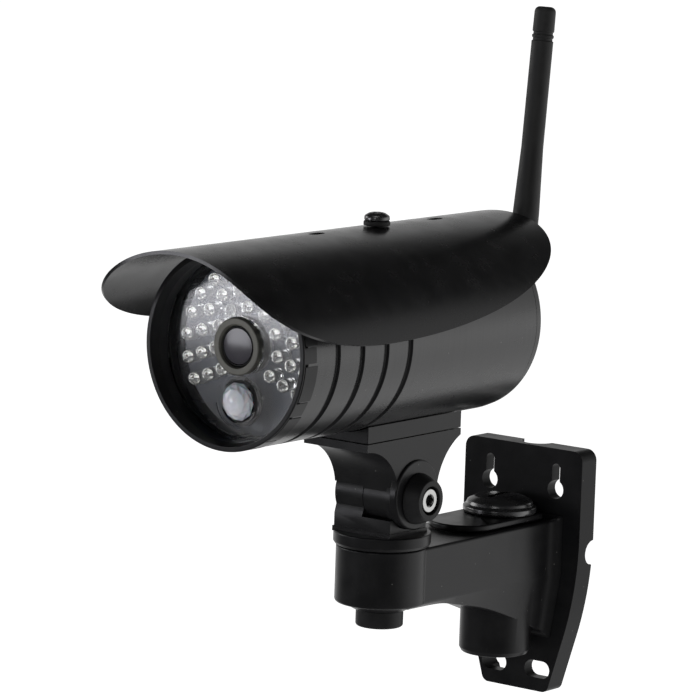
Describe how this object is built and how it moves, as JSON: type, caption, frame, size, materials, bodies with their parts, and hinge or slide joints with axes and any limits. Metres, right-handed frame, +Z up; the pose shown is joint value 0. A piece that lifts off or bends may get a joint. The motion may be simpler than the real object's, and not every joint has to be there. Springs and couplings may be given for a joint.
{
  "type": "security camera",
  "caption": "Bullet security camera with sunshield, infrared emitters, folding antenna and pan-tilt wall bracket.",
  "frame": {"origin": "middle of the wall plate's back face, on the wall", "axes": "+Z up, -Y out of the wall along the camera at rest, +X to the side of the tilt screw's head"},
  "size_m": [0.0904, 0.2126, 0.253],
  "materials": {
    "wall_plate": "satin black",
    "arm": "satin black",
    "duct_cover": "satin black",
    "cable_cap": "gloss black",
    "boss_plug": "matte black",
    "lower_cap": "matte black",
    "pan_washer": "satin",
    "arm_screw_left": "satin",
    "arm_screw_right": "satin",
    "arm_screw_low": "satin",
    "pan_base": "satin black",
    "pan_bolt": "satin",
    "tilt_nut": "satin",
    "saddle": "satin black",
    "seat_block": "satin black",
    "tilt_collar": "matte black",
    "tilt_screw": "satin",
    "seat_screw_front": "satin",
    "seat_screw_rear": "satin",
    "body_tube": "satin black",
    "front_ring": "satin black",
    "front_panel": "clear polished",
    "front_gasket": "matte black",
    "led_board": "solder-masked circuit board, satin",
    "lens_ring": "dark anodised satin",
    "lens_barrel": "matte black",
    "lens_glass": "coated polished",
    "lens_holder": "matte black",
    "sensor_board": "solder-masked circuit board, satin",
    "pir_lens": "translucent satin",
    "pir_sensor": "satin",
    "electronics_sled": "matte black",
    "main_board": "solder-masked circuit board, satin",
    "wifi_module": "satin",
    "processor": "matte black",
    "rear_cap": "satin black",
    "rear_gasket": "matte black",
    "cap_screw_top": "satin",
    "cap_screw_left": "satin",
    "cap_screw_right": "satin",
    "cable_gland": "matte black",
    "antenna_jack": "satin",
    "visor": "satin black",
    "visor_washer": "matte black",
    "visor_screw": "gloss black",
    "visor_nut": "satin",
    "antenna_nut": "matte black",
    "antenna_knuckle": "matte black",
    "fold_pin": "satin",
    "antenna_whip": "matte black"
  },
  "bodies": {
    "bracket": {"wall_plate": "wall_plate", "arm": "arm", "duct_cover": "duct_cover", "cable_cap": "cable_cap", "boss_plug": "boss_plug", "lower_cap": "lower_cap", "pan_washer": "pan_washer", "arm_screw_left": "arm_screw_left", "arm_screw_right": "arm_screw_right", "arm_screw_low": "arm_screw_low"},
    "turntable": {"pan_base": "pan_base", "pan_bolt": "pan_bolt", "tilt_nut": "tilt_nut"},
    "camera": {"saddle": "saddle", "seat_block": "seat_block", "tilt_collar": "tilt_collar", "tilt_screw": "tilt_screw", "seat_screw_front": "seat_screw_front", "seat_screw_rear": "seat_screw_rear", "body_tube": "body_tube", "front_ring": "front_ring", "front_panel": "front_panel", "front_gasket": "front_gasket", "led_board": "led_board", "lens_ring": "lens_ring", "lens_barrel": "lens_barrel", "lens_glass": "lens_glass", "lens_holder": "lens_holder", "sensor_board": "sensor_board", "pir_lens": "pir_lens", "pir_sensor": "pir_sensor", "electronics_sled": "electronics_sled", "main_board": "main_board", "wifi_module": "wifi_module", "processor": "processor", "rear_cap": "rear_cap", "rear_gasket": "rear_gasket", "cap_screw_top": "cap_screw_top", "cap_screw_left": "cap_screw_left", "cap_screw_right": "cap_screw_right", "cable_gland": "cable_gland", "antenna_jack": "antenna_jack", "visor": "visor", "visor_washer": "visor_washer", "visor_screw": "visor_screw", "visor_nut": "visor_nut"},
    "antenna_base": {"antenna_nut": "antenna_nut", "antenna_knuckle": "antenna_knuckle", "fold_pin": "fold_pin"},
    "antenna_rod": {"antenna_whip": "antenna_whip"}
  },
  "joints": [
    {"name": "pan", "type": "hinge", "parent": "bracket", "child": "turntable", "pos_m": [0, -0.0936, 0.0197], "axis": [0, 0, 1], "range_deg": [-90, 90]},
    {"name": "tilt", "type": "hinge", "parent": "turntable", "child": "camera", "pos_m": [0, -0.0936, 0.0381], "axis": [1, 0, 0], "range_deg": [-15, 45]},
    {"name": "antenna_swivel", "type": "hinge", "parent": "camera", "child": "antenna_base", "pos_m": [0, -0.0168, 0.0981], "axis": [0, 1, 0], "range_deg": [-110, 110]},
    {"name": "antenna_fold", "type": "hinge", "parent": "antenna_base", "child": "antenna_rod", "pos_m": [0, -0.0168, 0.0981], "axis": [1, 0, 0], "range_deg": [-84, 5]}
  ]
}
